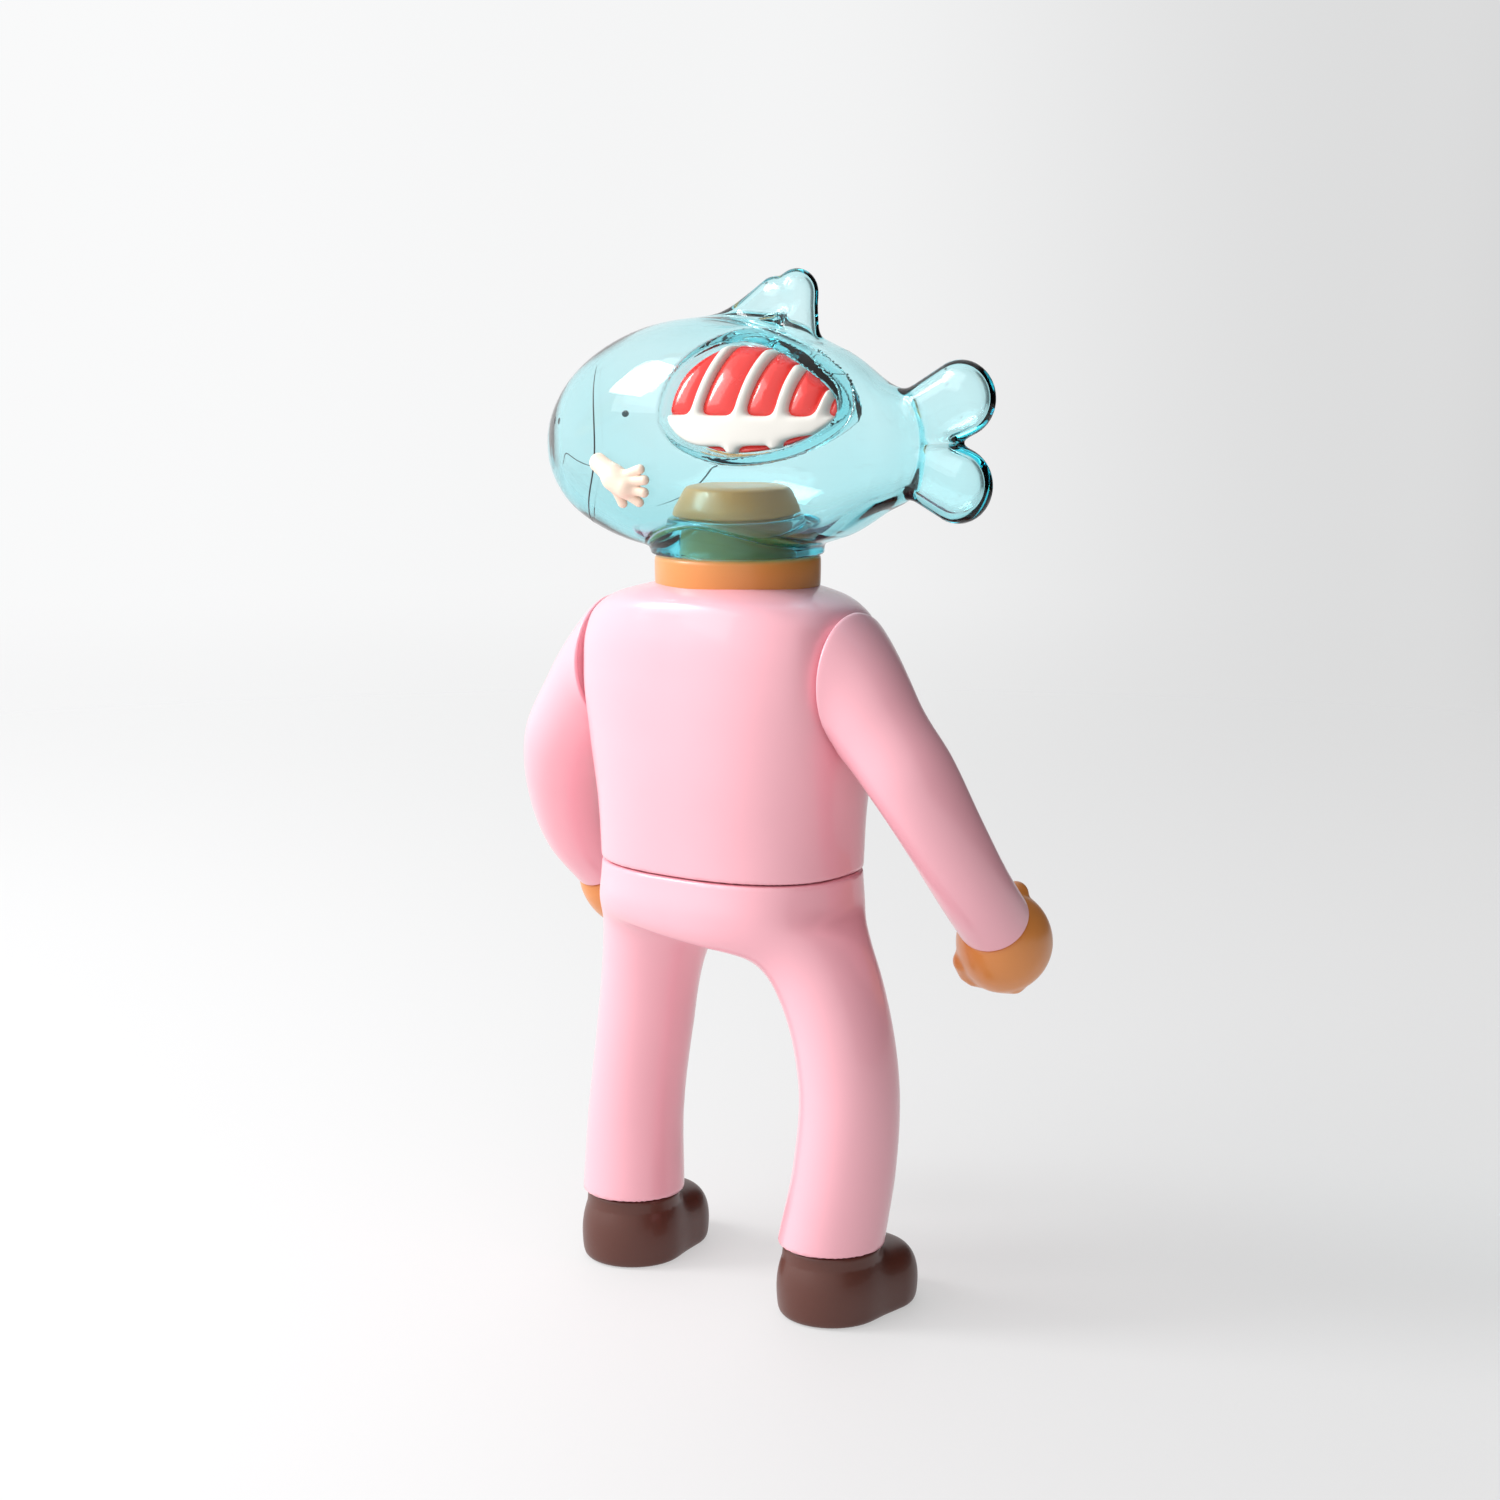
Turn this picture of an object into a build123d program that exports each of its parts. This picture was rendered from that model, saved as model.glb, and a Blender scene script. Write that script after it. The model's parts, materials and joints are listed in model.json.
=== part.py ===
"""Standing soft vinyl figure, a suited body with a clear fish for a head.

Every pink, tan or brown piece is a hollow casting. Where two castings turn on each other,
one has a flat end with a round hole in it, and the other a stem with a wider head that snaps
through that hole. The figure faces -Y, its left hand is on +X, and it stands on Z = 0.
"""
import os

from build123d import *

# Driving dimensions, in millimetres.
HEIGHT = 270.0
WALL = 2.4
GAP = 0.3
BODY_Y = 3.0
BODY_FULLNESS = (0.64, 0.64)
# The middle of the figure's box, seen from above, measured from the neck's axis.
MIDDLE = (-0.2, -7.2)

# Snap stems: each has a head a little wider than the hole it goes through.
STEM_HEAD_EXTRA = 1.8
STEM_HEAD_LENGTH = 4.0
STEM_HEAD_TAPER = 18.0
STEM_LENGTH = WALL + 3 * GAP
WAIST_STEM_R = 12.0
SHOULDER_STEM_R = 9.0
SHOULDER_STEM_LENGTH = 7.0
WRIST_STEM_R = 5.0
ANKLE_STEM_R = 7.0
BORE_REACH = 20.0

# Torso, arms and fists.
WAIST_Z = 116.0
TORSO_TOP_Z = 187.2
SHOULDER_X = 38.5
SHOULDER_Z = 168.0
SHOULDER_R = 16.5
CUFF_R = 9.7
WRIST_R = 8.5
FIST_R = 12.8
FIST_LENGTH = 25.0

# Legs and shoes.
HEM_Z = 20.5
HEM_R = 14.0
ANKLES = {"left": (34.0, 3.0), "right": (-35.0, 6.0)}
TOE_OUT = {"left": 7.0, "right": -7.0}
SHOE_LENGTH = 40.0
SHOE_WIDTH = 26.6
SHOE_TOE_HEIGHT = 17.0
SHOE_TOP_FILLET = 9.0
SHOE_SOLE_FILLET = 2.0

# Neck, and the snap head on it that carries the fish.
NECK_R = 21.7
NECK_BASE_Z = 187.5
NECK_TOP_Z = 197.3
NECK_FLARE = 1.3
NECK_FLARE_HEIGHT = 3.5
NECK_SOCKET_R = 17.0
NECK_SOCKET_DEPTH = 5.0
NECK_STEM_R = 15.0
NECK_HEAD_Z = 207.0
NECK_HEAD_LENGTH = 8.0
NECK_TIP_R = 12.5

# Fish: its skin slants, so its sections shrink by SLANT times the depth below the skin.
FISH_BASE_Z = 197.6
FISH_WALL = 2.2
FISH_FULLNESS = (0.6, 0.74)
SLANT = 0.9
FIN_HALF_DEPTH = 4.0
COLLAR_R = 22.6
COLLAR_HEIGHT = 9.0
COLLAR_TOP_Z = 206.5
POCKET_FLOOR_Y = 13.0
FLANK_REACH = 30.0
INSERT_GAP = 0.1
FLESH_DEPTH = 3.2
RIB_DEPTH = 1.2

# Sections of the torso and the hips: height, half width, half depth.
TORSO_SECTIONS = [
    (WAIST_Z + GAP, 36.4, 26.2),
    (132.0, 37.2, 27.0),
    (150.0, 40.0, 27.8),
    (167.0, 42.4, 27.8),
    (178.0, 41.4, 27.2),
    (184.0, 37.2, 25.8),
    (TORSO_TOP_Z, 31.5, 24.4),
]
TORSO_CAVITY = [
    (WAIST_Z + GAP + WALL, 33.8, 23.6),
    (132.0, 34.8, 24.6),
    (150.0, 36.2, 25.4),
    (166.0, 36.4, 25.0),
    (176.0, 34.4, 23.0),
    (TORSO_TOP_Z - 4.0, 24.0, 20.0),
]
HIP_SECTIONS = [
    (WAIST_Z, 36.4, 26.2),
    (107.0, 36.0, 27.6),
    (97.0, 32.5, 25.0),
    (88.0, 24.0, 17.0),
]
HIP_CAVITY = [
    (WAIST_Z - WALL, 33.4, 23.6),
    (106.0, 33.4, 25.0),
    (98.0, 30.0, 22.4),
    (91.0, 23.0, 16.0),
]

# Centre line of each leg: x, y, z and radius, from inside the hips to the hem.
LEG_SECTIONS = {
    "left": [
        (20.0, 5.0, 104.0, 17.0),
        (25.5, 4.0, 87.0, 14.0),
        (29.5, 3.2, 66.0, 13.2),
        (33.0, 3.0, 42.0, 13.2),
        (34.0, 3.0, HEM_Z, HEM_R),
    ],
    "right": [
        (-21.0, 5.0, 106.0, 18.0),
        (-33.5, 6.0, 88.0, 14.4),
        (-40.0, 6.0, 64.0, 13.1),
        (-39.0, 6.0, 41.0, 13.4),
        (-35.0, 6.0, HEM_Z, HEM_R),
    ],
}

# Sections of the left arm from shoulder to cuff: centre, the way the section faces, and radius.
SHOULDER = (SHOULDER_X + GAP, BODY_Y, SHOULDER_Z)
ARM_SECTIONS = [
    (SHOULDER, (1.0, 0.0, 0.0), SHOULDER_R),
    ((45.2, 4.0, 163.8), (0.93, 0.03, -0.37), 14.4),
    ((49.4, 4.9, 156.0), (0.72, -0.04, -0.69), 12.5),
    ((57.0, 3.1, 144.0), (0.44, -0.24, -0.87), 11.5),
    ((62.9, -2.8, 129.3), (0.25, -0.47, -0.85), 10.4),
    ((65.8, -12.0, 115.0), (0.06, -0.64, -0.77), 9.8),
    ((65.4, -23.0, 104.2), (-0.11, -0.74, -0.66), CUFF_R),
]

# Bars on the left fist: start, end and radius.
FINGER_ROLL = ((54.6, -36.5, 98.6), (55.0, -31.5, 86.8), 4.4)
THUMB = ((61.0, -42.5, 98.8), (54.8, -41.2, 93.0), 3.6)

# Sections of the fish from tail root to nose: x, top, bottom and half width.
FISH_SECTIONS = [
    (-54.0, 237.0, 216.0, 5.5),
    (-45.0, 242.5, 210.0, 12.0),
    (-30.0, 250.8, 202.5, 20.5),
    (-12.0, 256.8, 198.2, 26.5),
    (8.0, 258.4, FISH_BASE_Z, 28.5),
    (26.0, 256.0, 199.2, 27.0),
    (42.0, 249.0, 204.5, 21.5),
    (53.0, 239.5, 212.0, 13.5),
    (59.5, 229.0, 220.5, 4.5),
]
TAIL_POINTS = [
    (-46.0, 234.0),
    (-53.5, 238.5),
    (-61.0, 244.5),
    (-68.0, 248.0),
    (-75.5, 245.0),
    (-77.0, 238.5),
    (-69.5, 229.0),
    (-76.5, 217.5),
    (-74.0, 209.5),
    (-67.0, 208.0),
    (-60.0, 211.0),
    (-53.5, 216.0),
    (-46.0, 219.0),
]
DORSAL_POINTS = [
    (12.0, 254.0),
    (4.0, 260.5),
    (-8.0, 266.5),
    (-17.0, HEIGHT),
    (-22.5, 267.8),
    (-24.8, 262.0),
    (-25.0, 250.0),
]

# Outline of the window in the fish's left flank, and of the bones that show in it.
WINDOW_POINTS = [
    (3.4, 236.5),
    (0.6, 245.5),
    (-7.0, 251.5),
    (-17.0, 251.3),
    (-29.0, 246.2),
    (-38.0, 239.5),
    (-39.2, 233.0),
    (-30.0, 226.6),
    (-16.0, 223.9),
    (-4.0, 226.4),
    (2.2, 231.0),
]
SPINE_POINTS = [(4.0, 234.0), (-40.0, 233.2), (-40.0, 229.5), (-30.0, 227.4), (-4.0, 227.0), (4.0, 229.0)]
RIB_WIDTH = 2.4
RIB_LINES = [
    ((-4.6, 233.0), (-8.4, 253.0)),
    ((-16.4, 233.0), (-19.0, 253.0)),
    ((-26.4, 233.0), (-27.4, 249.0)),
    ((-35.2, 232.0), (-36.6, 243.0)),
    ((-15.0, 228.0), (-15.6, 222.0)),
    ((-26.0, 228.0), (-26.8, 222.0)),
]

# Bars that make the small hand on the fish's flank: start, end and radius.
PALM_BARS = [
    ((22.3, 28.6, 220.6), (14.5, 29.0, 216.4), 2.3),
    ((18.0, 28.7, 217.6), (13.6, 28.9, 215.4), 2.9),
]
FINGER_BARS = [
    ((15.0, 28.9, 218.6), (8.6, 28.9, 220.6), 1.1),
    ((14.0, 29.0, 217.2), (7.6, 28.6, 217.8), 1.1),
    ((13.6, 28.9, 215.6), (8.2, 28.2, 214.6), 1.1),
    ((14.6, 28.4, 214.6), (10.8, 26.9, 211.8), 1.1),
    ((17.2, 27.6, 215.0), (17.0, 25.6, 211.2), 1.2),
]


def oval(plane, half_width, top, bottom, fullness):
    """Draws a closed oval from four curves; fullness is 0.55 for an ellipse, more for a squarer one."""
    middle = (top + bottom) / 2
    rise = (top - bottom) / 2
    upper, lower = fullness
    with BuildSketch(plane) as section:
        with BuildLine():
            for across, up, full in ((1, 1, upper), (-1, 1, upper), (-1, -1, lower), (1, -1, lower)):
                Bezier(
                    (across * half_width, middle),
                    (across * half_width, middle + up * rise * full),
                    (across * half_width * full, middle + up * rise),
                    (0, middle + up * rise),
                )
        make_face()
    return section.sketch


def oval_loft(sections, mode=Mode.ADD):
    """Adds a loft through level ovals given as height, half width and half depth."""
    faces = []
    for height, half_width, half_depth in sections:
        level = Plane((0, BODY_Y, height))
        faces.append(oval(level, half_width, half_depth, -half_depth, BODY_FULLNESS))
    loft(faces, mode=mode)


def round_loft(sections, inset=0.0, mode=Mode.ADD):
    """Adds a loft through level circles given as x, y, z and radius."""
    faces = []
    for x, y, z, radius in sections:
        with BuildSketch(Plane((x, y, z))) as section:
            Circle(radius - inset)
        faces.append(section.sketch)
    loft(faces, mode=mode)


def fish_loft(inset=0.0, mode=Mode.ADD):
    """Adds the fish's body, with its skin moved in by inset."""
    faces = []
    shrink = inset * SLANT
    nose = len(FISH_SECTIONS) - 1
    for index, (x, top, bottom, half_width) in enumerate(FISH_SECTIONS):
        station = Plane.YZ.offset(x - inset if index == nose else x)
        faces.append(oval(station, half_width - shrink, top - shrink, bottom + shrink, FISH_FULLNESS))
    loft(faces, mode=mode)


def moved_in(points, amount):
    """Moves each point of an outline inward, square to the line between its neighbours."""
    moved = []
    for index, (x, z) in enumerate(points):
        ahead = points[(index + 1) % len(points)]
        behind = points[index - 1]
        along = Vector(ahead[0] - behind[0], ahead[1] - behind[1]).normalized()
        moved.append((x - along.Y * amount, z + along.X * amount))
    return moved


def flat_fin(points, inset=0.0, mode=Mode.ADD):
    """Adds an upright fin whose outline runs through the points and closes inside the body."""
    outline = moved_in(points, inset)
    with BuildSketch(Plane.XZ) as fin:
        with BuildLine():
            Spline(*outline)
            Line(outline[-1], outline[0])
        make_face()
    extrude(fin.sketch, amount=FIN_HALF_DEPTH - inset, both=True, mode=mode)


def snap_stem(base, radius, length, mode=Mode.ADD):
    """Adds a stem on the base plane, with the wider head that snaps behind a hole's edge."""
    with BuildSketch(base) as stem:
        Circle(radius)
    extrude(stem.sketch, amount=length + STEM_HEAD_LENGTH, mode=mode)
    with BuildSketch(base.offset(length)) as head:
        Circle(radius + STEM_HEAD_EXTRA)
    extrude(head.sketch, amount=STEM_HEAD_LENGTH, taper=STEM_HEAD_TAPER, mode=mode)


def arm_loft(inset=0.0, mode=Mode.ADD):
    """Adds the bent arm; an inset moves its skin and both of its ends inward."""
    faces = []
    last = len(ARM_SECTIONS) - 1
    for index, (centre, facing, radius) in enumerate(ARM_SECTIONS):
        shift = {0: inset, last: -inset}.get(index, 0.0)
        with BuildSketch(Plane(centre, z_dir=facing).offset(shift)) as section:
            Circle(radius - inset)
        faces.append(section.sketch)
    loft(faces, mode=mode)


def rounded_bar(start, end, radius, mode=Mode.ADD):
    """Adds a round bar with ball ends."""
    direction = Vector(*end) - Vector(*start)
    with BuildSketch(Plane(start, z_dir=direction)) as section:
        Circle(radius)
    extrude(section.sketch, amount=direction.length, mode=mode)
    with Locations(start, end):
        Sphere(radius, mode=mode)


def window_prism(inset, floor_y, mode=Mode.INTERSECT):
    """Works with the window's outline, carried from floor_y out through the left flank."""
    with BuildSketch(Plane.XZ.offset(-floor_y - FLANK_REACH)) as outline:
        with BuildLine():
            Spline(*moved_in(WINDOW_POINTS, inset), periodic=True)
        make_face()
    extrude(outline.sketch, amount=FLANK_REACH, mode=mode)


def save(piece, name):
    """Puts the origin under the middle of the figure's box, labels the piece and writes it."""
    moved = piece.moved(Location((-MIDDLE[0], -MIDDLE[1], 0)))
    moved.label = name
    export_step(moved, f"parts/{name}.step")


os.makedirs("parts", exist_ok=True)

# Torso: a hollow casting with a flat side at each shoulder and holes for its five joints.
with BuildPart() as torso_shell:
    oval_loft(TORSO_SECTIONS)
    split(bisect_by=Plane.YZ.offset(SHOULDER_X), keep=Keep.BOTTOM)
    split(bisect_by=Plane.YZ.offset(-SHOULDER_X), keep=Keep.TOP)
    oval_loft(TORSO_CAVITY, mode=Mode.SUBTRACT)
    with BuildSketch(Plane((0, BODY_Y, WAIST_Z))):
        Circle(WAIST_STEM_R + GAP)
    extrude(amount=BORE_REACH, mode=Mode.SUBTRACT)
    with BuildSketch(Plane.XY.offset(TORSO_TOP_Z - BORE_REACH / 2)):
        Circle(NECK_SOCKET_R)
    extrude(amount=BORE_REACH, mode=Mode.SUBTRACT)
    with BuildSketch(Plane.YZ):
        with Locations((BODY_Y, SHOULDER_Z)):
            Circle(SHOULDER_STEM_R + GAP)
    extrude(amount=SHOULDER_X + BORE_REACH, both=True, mode=Mode.SUBTRACT)
save(torso_shell.part, "torso_shell")

# Neck: it sits in the torso's socket, and its snap head carries the fish.
with BuildPart() as neck:
    with BuildSketch(Plane.XZ):
        with BuildLine():
            Polyline(
                (0, NECK_HEAD_Z + NECK_HEAD_LENGTH),
                (NECK_TIP_R, NECK_HEAD_Z + NECK_HEAD_LENGTH),
                (NECK_STEM_R + STEM_HEAD_EXTRA, NECK_HEAD_Z),
                (NECK_STEM_R, NECK_HEAD_Z),
                (NECK_STEM_R, NECK_TOP_Z),
                (NECK_R, NECK_TOP_Z),
                (NECK_R, NECK_BASE_Z + NECK_FLARE_HEIGHT),
                (NECK_R + NECK_FLARE, NECK_BASE_Z),
                (NECK_R + NECK_FLARE, TORSO_TOP_Z),
                (NECK_SOCKET_R, TORSO_TOP_Z),
                (NECK_SOCKET_R, TORSO_TOP_Z - NECK_SOCKET_DEPTH),
                (0, TORSO_TOP_Z - NECK_SOCKET_DEPTH),
                close=True,
            )
        make_face()
    revolve(axis=Axis.Z)
    with BuildSketch(Plane.XY.offset(TORSO_TOP_Z - NECK_SOCKET_DEPTH)):
        Circle(NECK_STEM_R - WALL)
    extrude(amount=NECK_HEAD_Z - TORSO_TOP_Z + NECK_SOCKET_DEPTH, mode=Mode.SUBTRACT)
save(neck.part, "neck")

# Hips and legs: one casting, with the waist's stem on top and a hole in each hem.
with BuildPart() as hips_and_legs:
    oval_loft(HIP_SECTIONS)
    for sections in LEG_SECTIONS.values():
        round_loft(sections)
    oval_loft(HIP_CAVITY, mode=Mode.SUBTRACT)
    for sections in LEG_SECTIONS.values():
        lifted = sections[:-1] + [sections[-1][:2] + (HEM_Z + WALL, HEM_R)]
        round_loft(lifted, inset=WALL, mode=Mode.SUBTRACT)
    for x, y in ANKLES.values():
        with BuildSketch(Plane((x, y, HEM_Z))):
            Circle(ANKLE_STEM_R + GAP)
        extrude(amount=2 * WALL, mode=Mode.SUBTRACT)
    snap_stem(Plane((0, BODY_Y, WAIST_Z)), WAIST_STEM_R, STEM_LENGTH)
save(hips_and_legs.part, "hips_and_legs")

# Shoes: flat sole, round toe, and a stem that snaps into the hem.
for side, (x, y) in ANKLES.items():
    heel = Plane((x, y, 0)).rotated((0, 0, TOE_OUT[side]))
    with BuildPart() as shoe:
        with BuildSketch(heel):
            with Locations((0, -(SHOE_LENGTH - SHOE_WIDTH) / 2)):
                SlotOverall(SHOE_LENGTH, SHOE_WIDTH, rotation=90)
        extrude(amount=SHOE_TOE_HEIGHT)
        fillet(shoe.edges().group_by(Axis.Z)[-1], radius=SHOE_TOP_FILLET)
        with BuildSketch(heel):
            Circle(SHOE_WIDTH / 2)
        extrude(amount=HEM_Z - GAP)
        fillet(shoe.edges().group_by(Axis.Z)[0], radius=SHOE_SOLE_FILLET)
        snap_stem(heel.offset(HEM_Z - GAP), ANKLE_STEM_R, STEM_LENGTH)
    save(shoe.part, f"shoe_{side}")

# Arms: a hollow bent sleeve with a snap stem at the shoulder and a hole in the cuff.
cuff = Plane(ARM_SECTIONS[-1][0], z_dir=ARM_SECTIONS[-1][1])
with BuildPart() as sleeve:
    arm_loft()
    arm_loft(inset=WALL, mode=Mode.SUBTRACT)
    with BuildSketch(cuff.offset(-2 * WALL)):
        Circle(WRIST_STEM_R + GAP)
    extrude(amount=3 * WALL, mode=Mode.SUBTRACT)
    snap_stem(Plane(SHOULDER, x_dir=(0, 1, 0), z_dir=(-1, 0, 0)), SHOULDER_STEM_R, SHOULDER_STEM_LENGTH)
save(sleeve.part, "sleeve_left")
save(sleeve.part.mirror(Plane.YZ), "sleeve_right")

# Hands: a closed fist with a finger roll and a thumb, and a stem that snaps into the cuff.
wrist = cuff.offset(GAP)
with BuildPart() as hand:
    with BuildSketch(Plane(wrist.origin, x_dir=wrist.x_dir, z_dir=-wrist.y_dir)):
        with BuildLine():
            Polyline((0, 0), (WRIST_R, 0))
            Spline(
                (WRIST_R, 0),
                (FIST_R, FIST_LENGTH * 0.5),
                (0, FIST_LENGTH),
                tangents=((0.4, 1), (-1, 0)),
            )
            Line((0, FIST_LENGTH), (0, 0))
        make_face()
    revolve(axis=Axis(wrist.origin, wrist.z_dir))
    rounded_bar(*FINGER_ROLL)
    rounded_bar(*THUMB)
    snap_stem(Plane(wrist.origin, x_dir=wrist.x_dir, z_dir=-wrist.z_dir), WRIST_STEM_R, STEM_LENGTH)
save(hand.part, "hand_left")
save(hand.part.mirror(Plane.YZ), "hand_right")

# Window pocket: the wall and floor of the recess, cut to the fish's own skin.
with BuildPart() as pocket:
    fish_loft()
    window_prism(-FISH_WALL, POCKET_FLOOR_Y - FISH_WALL)

# Fish: a clear hollow casting with hollow fins, a skirt round the neck, and the window pocket.
with BuildPart() as fish_shell:
    fish_loft()
    flat_fin(TAIL_POINTS)
    flat_fin(DORSAL_POINTS)
    with BuildSketch(Plane.XY.offset(FISH_BASE_Z)):
        Circle(COLLAR_R)
    extrude(amount=COLLAR_HEIGHT)
    fish_loft(inset=FISH_WALL, mode=Mode.SUBTRACT)
    flat_fin(TAIL_POINTS, inset=FISH_WALL, mode=Mode.SUBTRACT)
    flat_fin(DORSAL_POINTS, inset=FISH_WALL, mode=Mode.SUBTRACT)
    with BuildSketch(Plane.XY.offset(FISH_BASE_Z)):
        Circle(NECK_STEM_R + GAP + FISH_WALL)
    extrude(amount=COLLAR_TOP_Z - FISH_BASE_Z)
    add(pocket)
    window_prism(0, POCKET_FLOOR_Y, mode=Mode.SUBTRACT)
    with BuildSketch(Plane.XY.offset(COLLAR_TOP_Z)):
        Circle(NECK_STEM_R + GAP)
    extrude(amount=-2 * (COLLAR_TOP_Z - FISH_BASE_Z), mode=Mode.SUBTRACT)
save(fish_shell.part, "fish_shell")

# Flesh: the red block that fills the bottom of the window pocket.
with BuildPart() as flesh_insert:
    fish_loft(inset=FLESH_DEPTH)
    window_prism(INSERT_GAP, POCKET_FLOOR_Y)
save(flesh_insert.part, "flesh_insert")

# Bones: a white spine with its ribs, standing proud of the flesh.
with BuildPart() as rib_insert:
    fish_loft(inset=RIB_DEPTH)
    window_prism(INSERT_GAP, POCKET_FLOOR_Y)
    with BuildSketch(Plane.XZ.offset(-2 * FLANK_REACH)) as bones:
        with BuildLine():
            Polyline(*SPINE_POINTS, close=True)
        make_face()
        for foot, tip in RIB_LINES:
            with BuildLine():
                rib = Line(foot, tip)
            trace(rib, line_width=RIB_WIDTH)
    extrude(amount=2 * FLANK_REACH, mode=Mode.INTERSECT)
    fish_loft(inset=FLESH_DEPTH, mode=Mode.SUBTRACT)
save(rib_insert.part, "rib_insert")

# Flank hand: a small open hand set on the flank as a fin, with its back cut to the skin.
with BuildPart() as flank_hand:
    for start, end, radius in PALM_BARS + FINGER_BARS:
        rounded_bar(start, end, radius)
    fish_loft(mode=Mode.SUBTRACT)
save(flank_hand.part, "flank_hand")
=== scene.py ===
"""Looks of the standing soft vinyl figure: a glossy suited body with a clear fish for a head.

Shapes are written in millimetres in the figure's own frame: it faces -Y, its left hand is on
+X, it stands on Z = 0, and the axis of its neck is at X = Y = 0. Most skins are the zero level
of a distance formula, negative inside, from which skin() makes an even mesh of four-sided
faces. The arms are swept rings, and the neck is turned on its axis.
"""
import json
import math

import bmesh
import bpy
import numpy as np
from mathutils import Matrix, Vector


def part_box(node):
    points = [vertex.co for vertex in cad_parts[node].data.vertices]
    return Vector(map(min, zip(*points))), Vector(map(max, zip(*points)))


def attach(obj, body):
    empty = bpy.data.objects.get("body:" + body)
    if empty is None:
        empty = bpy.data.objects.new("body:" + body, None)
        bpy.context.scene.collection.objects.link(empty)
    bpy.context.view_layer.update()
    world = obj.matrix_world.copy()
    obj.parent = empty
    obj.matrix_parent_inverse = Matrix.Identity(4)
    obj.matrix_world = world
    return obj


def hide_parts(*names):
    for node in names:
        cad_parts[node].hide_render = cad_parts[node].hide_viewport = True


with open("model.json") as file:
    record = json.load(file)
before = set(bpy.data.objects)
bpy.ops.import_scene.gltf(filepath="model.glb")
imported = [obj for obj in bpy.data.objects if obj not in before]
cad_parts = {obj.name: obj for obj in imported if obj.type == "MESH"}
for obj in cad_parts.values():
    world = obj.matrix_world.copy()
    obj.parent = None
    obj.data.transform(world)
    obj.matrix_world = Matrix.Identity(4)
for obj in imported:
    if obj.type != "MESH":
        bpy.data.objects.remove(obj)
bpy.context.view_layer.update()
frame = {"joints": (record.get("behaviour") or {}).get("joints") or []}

JOINTS = {joint["name"]: joint for joint in frame["joints"]}
MM = 0.001
NECK_AXIS = np.array(list(JOINTS["head_turn"]["pos_m"][:2]) + [0.0])


def to_figure(point):
    """A point of the frame, in metres, as a point of the figure, in millimetres."""
    return (np.array(point, float) - NECK_AXIS) / MM


def level(node, side):
    """The height of the lowest (0) or highest (1) point of a CAD node, in millimetres."""
    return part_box(node)[side][2] / MM


WAIST = to_figure(JOINTS["waist_turn"]["pos_m"])
SHOULDER = to_figure(JOINTS["shoulder_left"]["pos_m"])
WRIST = to_figure(JOINTS["wrist_left"]["pos_m"])
WRIST_AXIS = np.array(JOINTS["wrist_left"]["axis"], float)
ANKLES = {side: to_figure(JOINTS[f"ankle_{side}"]["pos_m"]) for side in ("left", "right")}
HEM_Z = level("hips_and_legs", 0)
FISH_BASE_Z = level("fish_shell", 0)
PLUG_TOP_Z = level("neck", 1)
GAP = 0.3
BODY_Y = WAIST[1]
BODY_POWER = 2.4
COARSER = 1.0


# ---------------------------------------------------------------- formulas for shapes

def curve(places, values):
    """A smooth function through the values, which goes straight on past both ends."""
    places, values = np.array(places, float), np.array(values, float)
    if places[0] > places[-1]:
        places, values = places[::-1], values[::-1]
    slopes = np.gradient(values, places)

    def at(x):
        i = np.clip(np.searchsorted(places, x) - 1, 0, len(places) - 2)
        width = places[i + 1] - places[i]
        t = np.clip((x - places[i]) / width, 0, 1)
        smooth = (
            (1 + 2 * t) * (1 - t) ** 2 * values[i]
            + t * (1 - t) ** 2 * width * slopes[i]
            + t * t * (3 - 2 * t) * values[i + 1]
            + t * t * (t - 1) * width * slopes[i + 1]
        )
        before = np.minimum(x - places[0], 0) * slopes[0]
        beyond = np.maximum(x - places[-1], 0) * slopes[-1]
        return smooth + before + beyond

    return at


def smooth_min(a, b, reach):
    """The lower of two distances, rounded where they are within reach of each other."""
    near = np.maximum(reach - np.abs(a - b), 0) / reach
    return np.minimum(a, b) - near**3 * reach / 6


def smooth_max(a, b, reach):
    """The higher of two distances, rounded where they are within reach of each other."""
    return -smooth_min(-a, -b, reach)


def measured(formula, step=0.05):
    """The formula divided by how fast it grows, which near its zero level is a distance."""

    def distance(x, y, z):
        here = formula(x, y, z)
        growth = np.sqrt(
            (formula(x + step, y, z) - here) ** 2
            + (formula(x, y + step, z) - here) ** 2
            + (formula(x, y, z + step) - here) ** 2
        )
        return here / np.maximum(growth / step, 1e-3)

    return distance


def bar(start, end, start_r, end_r=None):
    """Distance to a bar with ball ends."""
    end_r = start_r if end_r is None else end_r
    ax, ay, az = start
    dx, dy, dz = (e - s for s, e in zip(start, end))
    squared = dx * dx + dy * dy + dz * dz

    def distance(x, y, z):
        t = np.clip(((x - ax) * dx + (y - ay) * dy + (z - az) * dz) / squared, 0, 1)
        away = (x - ax - t * dx) ** 2 + (y - ay - t * dy) ** 2 + (z - az - t * dz) ** 2
        return np.sqrt(away) - start_r - (end_r - start_r) * t

    return distance


def joined(fields, reach):
    """One distance to several shapes that flow into each other."""

    def distance(x, y, z):
        total = fields[0](x, y, z)
        for field in fields[1:]:
            total = smooth_min(total, field(x, y, z), reach)
        return total

    return distance


def column(sections, centre_y, power):
    """Distance to a body of level ovals, given as height, half width and half depth."""
    heights, widths, depths = np.array(sections, float).T
    squared = curve(heights, widths**2)
    ratio = curve(heights, widths / depths)

    def formula(x, y, z):
        deep = np.abs((y - centre_y) * ratio(z))
        return (np.abs(x) ** power + deep**power) ** (2 / power) - squared(z)

    return measured(formula)


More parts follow.
